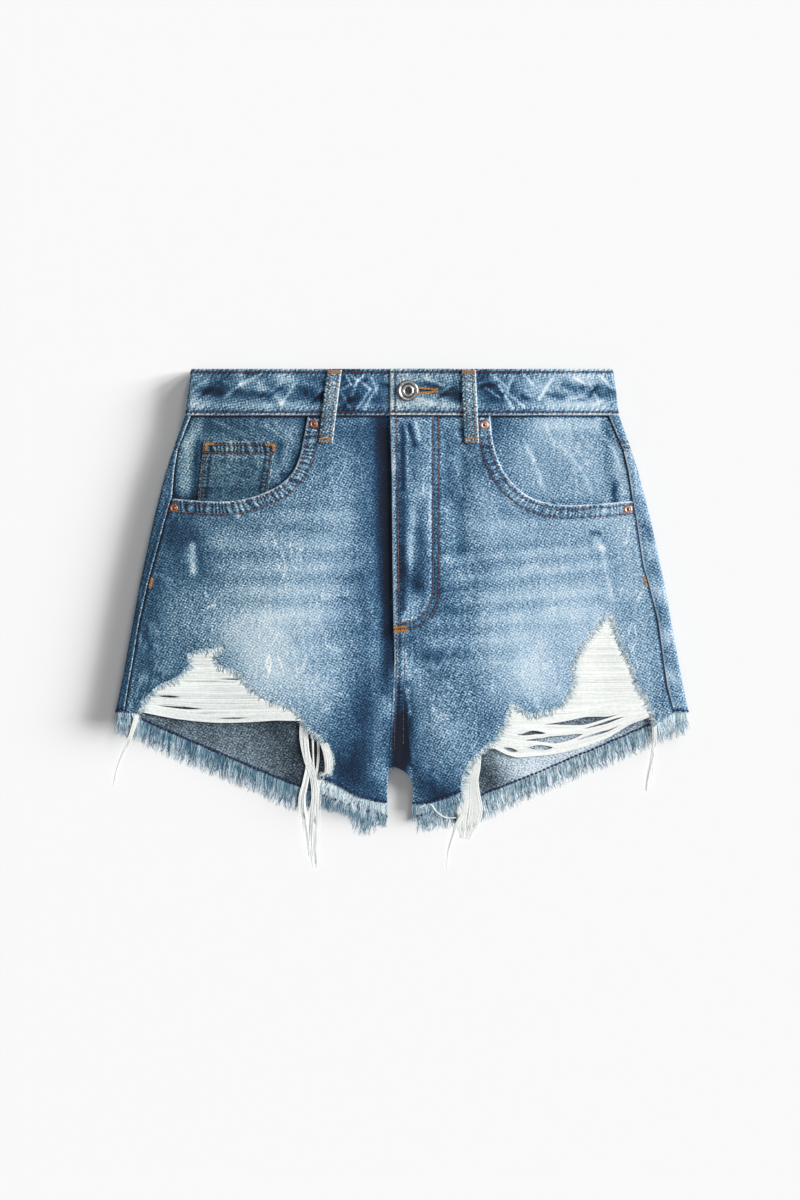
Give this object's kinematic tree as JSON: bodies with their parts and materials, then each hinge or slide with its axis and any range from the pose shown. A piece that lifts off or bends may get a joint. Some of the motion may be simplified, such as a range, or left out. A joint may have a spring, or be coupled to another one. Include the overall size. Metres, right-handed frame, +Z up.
{
  "type": "denim shorts",
  "caption": "High-waisted denim shorts laid flat, front up, with a buttoned fly, ripped front thighs held by bare weft threads, and raw hems frayed into locks.",
  "frame": {"origin": "on the floor beneath the middle of the garment's bounding box, loose threads included", "axes": "+X from the wearer's right to the wearer's left, +Y from the hems towards the waistband, +Z up from the surface that the back lies on to the front"},
  "size_m": [0.4732, 0.4392, 0.011],
  "materials": {
    "denim_front": "faded blue twill denim, pale on the thighs with whiskers, dark at the sides and seams",
    "denim_back": "mid blue twill denim",
    "denim_band": "mid blue twill denim with pale streaks and worn edges, rust topstitching",
    "weft_thread": "loose off-white cotton yarns",
    "fray": "frayed pale blue and white yarn ends",
    "silver_metal": "polished pressed shank button with rings",
    "copper_metal": "worn copper"
  },
  "bodies": {
    "root": {"waistband": "denim_band", "front_panel_right": "denim_front", "front_panel_left": "denim_front", "coin_pocket": "denim_front", "back_panel_right": "denim_back", "back_panel_left": "denim_back", "back_yoke_right": "denim_back", "back_yoke_left": "denim_back", "back_pocket_right": "denim_back", "back_pocket_left": "denim_back", "pocket_facing_right": "denim_back", "pocket_facing_left": "denim_back", "belt_loop_front_right": "denim_band", "belt_loop_front_left": "denim_band", "belt_loop_back_right": "denim_band", "belt_loop_back_centre": "denim_band", "belt_loop_back_left": "denim_band", "button": "silver_metal", "rivet_right_centre": "copper_metal", "rivet_right_side": "copper_metal", "rivet_left_centre": "copper_metal", "rivet_left_side": "copper_metal", "thread_web_right": "weft_thread", "thread_web_left": "weft_thread", "threads_inner_right": "weft_thread", "threads_inner_left": "weft_thread", "threads_outer_right": "weft_thread", "threads_outer_left": "weft_thread", "fringe_back_right": "fray", "fringe_back_left": "fray", "fringe_front_inner_right": "fray", "fringe_front_inner_left": "fray", "fringe_front_side_right": "fray", "fringe_front_side_left": "fray"}
  },
  "joints": []
}
